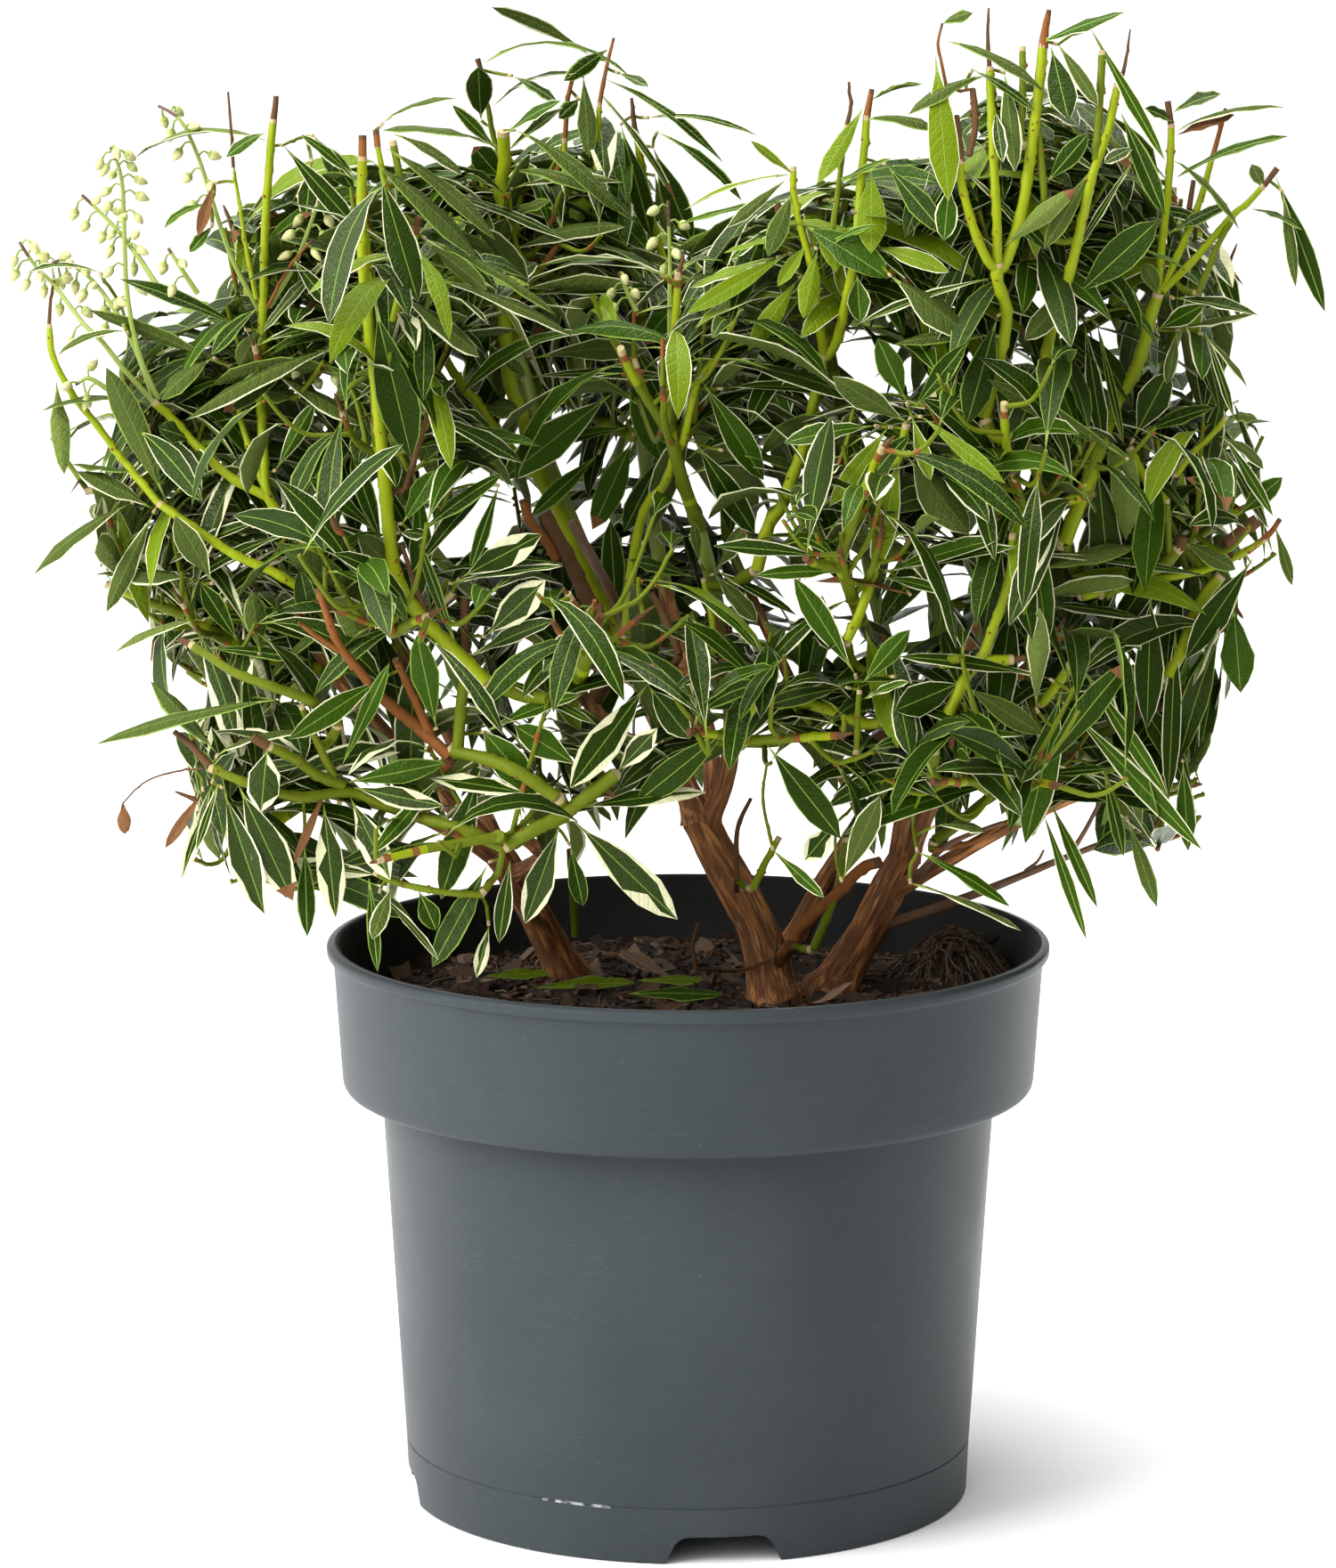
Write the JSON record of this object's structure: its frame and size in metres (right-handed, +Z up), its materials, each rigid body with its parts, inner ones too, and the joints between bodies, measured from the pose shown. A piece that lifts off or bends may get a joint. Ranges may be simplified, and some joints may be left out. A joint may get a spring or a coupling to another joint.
{
  "type": "potted pieris shrub",
  "caption": "Variegated evergreen shrub with woody stems, upright green shoots and bud sprays, standing in a round grey nursery pot.",
  "frame": {"origin": "middle of the pot's flat underside, where it stands", "axes": "+Z up; -Y is the side that faces the viewer, +X is to the viewer's right"},
  "size_m": [0.4897, 0.411, 0.5761],
  "materials": {
    "pot_plastic": "semi-matte moulded slate grey plastic",
    "potting_mix": "dark brown bark-based potting mix",
    "bark": "orange-brown fibrous bark, green on young wood",
    "dead_wood": "dry grey-brown bare wood",
    "foliage": "glossy dark green leaves with cream margins"
  },
  "bodies": {
    "root": {"pot": "pot_plastic", "soil": "potting_mix", "trunk_centre": "bark", "trunk_right": "bark", "trunk_left": "bark", "trunk_back": "bark", "bough_centre_main": "bark", "bough_centre_right": "bark", "bough_centre_back": "bark", "bough_centre_front": "bark", "bough_left_high": "bark", "bough_left_outer": "bark", "bough_left_low": "bark", "bough_left_front": "bark", "bough_left_back": "bark", "bough_right_main": "bark", "bough_right_inner": "bark", "bough_right_outer": "bark", "bough_right_low": "bark", "bough_back_left": "bark", "bough_back_right": "bark", "dead_branch": "dead_wood", "dead_twig": "dead_wood", "dead_spur_centre": "dead_wood", "mass_far_left": "foliage", "mass_upper_left": "foliage", "mass_upper_left_front": "foliage", "mass_top_left": "foliage", "mass_top_middle": "foliage", "mass_left_middle": "foliage", "mass_lower_left": "foliage", "mass_centre_left_front": "foliage", "mass_lower_front": "foliage", "mass_centre_front": "foliage", "mass_centre_upper": "foliage", "mass_centre_low": "foliage", "mass_top_right_inner": "foliage", "mass_top_right": "foliage", "mass_top_right_outer": "foliage", "mass_right_middle": "foliage", "mass_right_outer": "foliage", "mass_lower_right_front": "foliage", "mass_lower_right": "foliage", "mass_centre_right": "foliage", "mass_back_left_high": "foliage", "mass_back_left_low": "foliage", "mass_back_top": "foliage", "mass_back_middle": "foliage", "mass_back_low": "foliage", "mass_back_right": "foliage", "mass_back_right_low": "foliage", "mass_back_top_right": "foliage"}
  },
  "joints": []
}
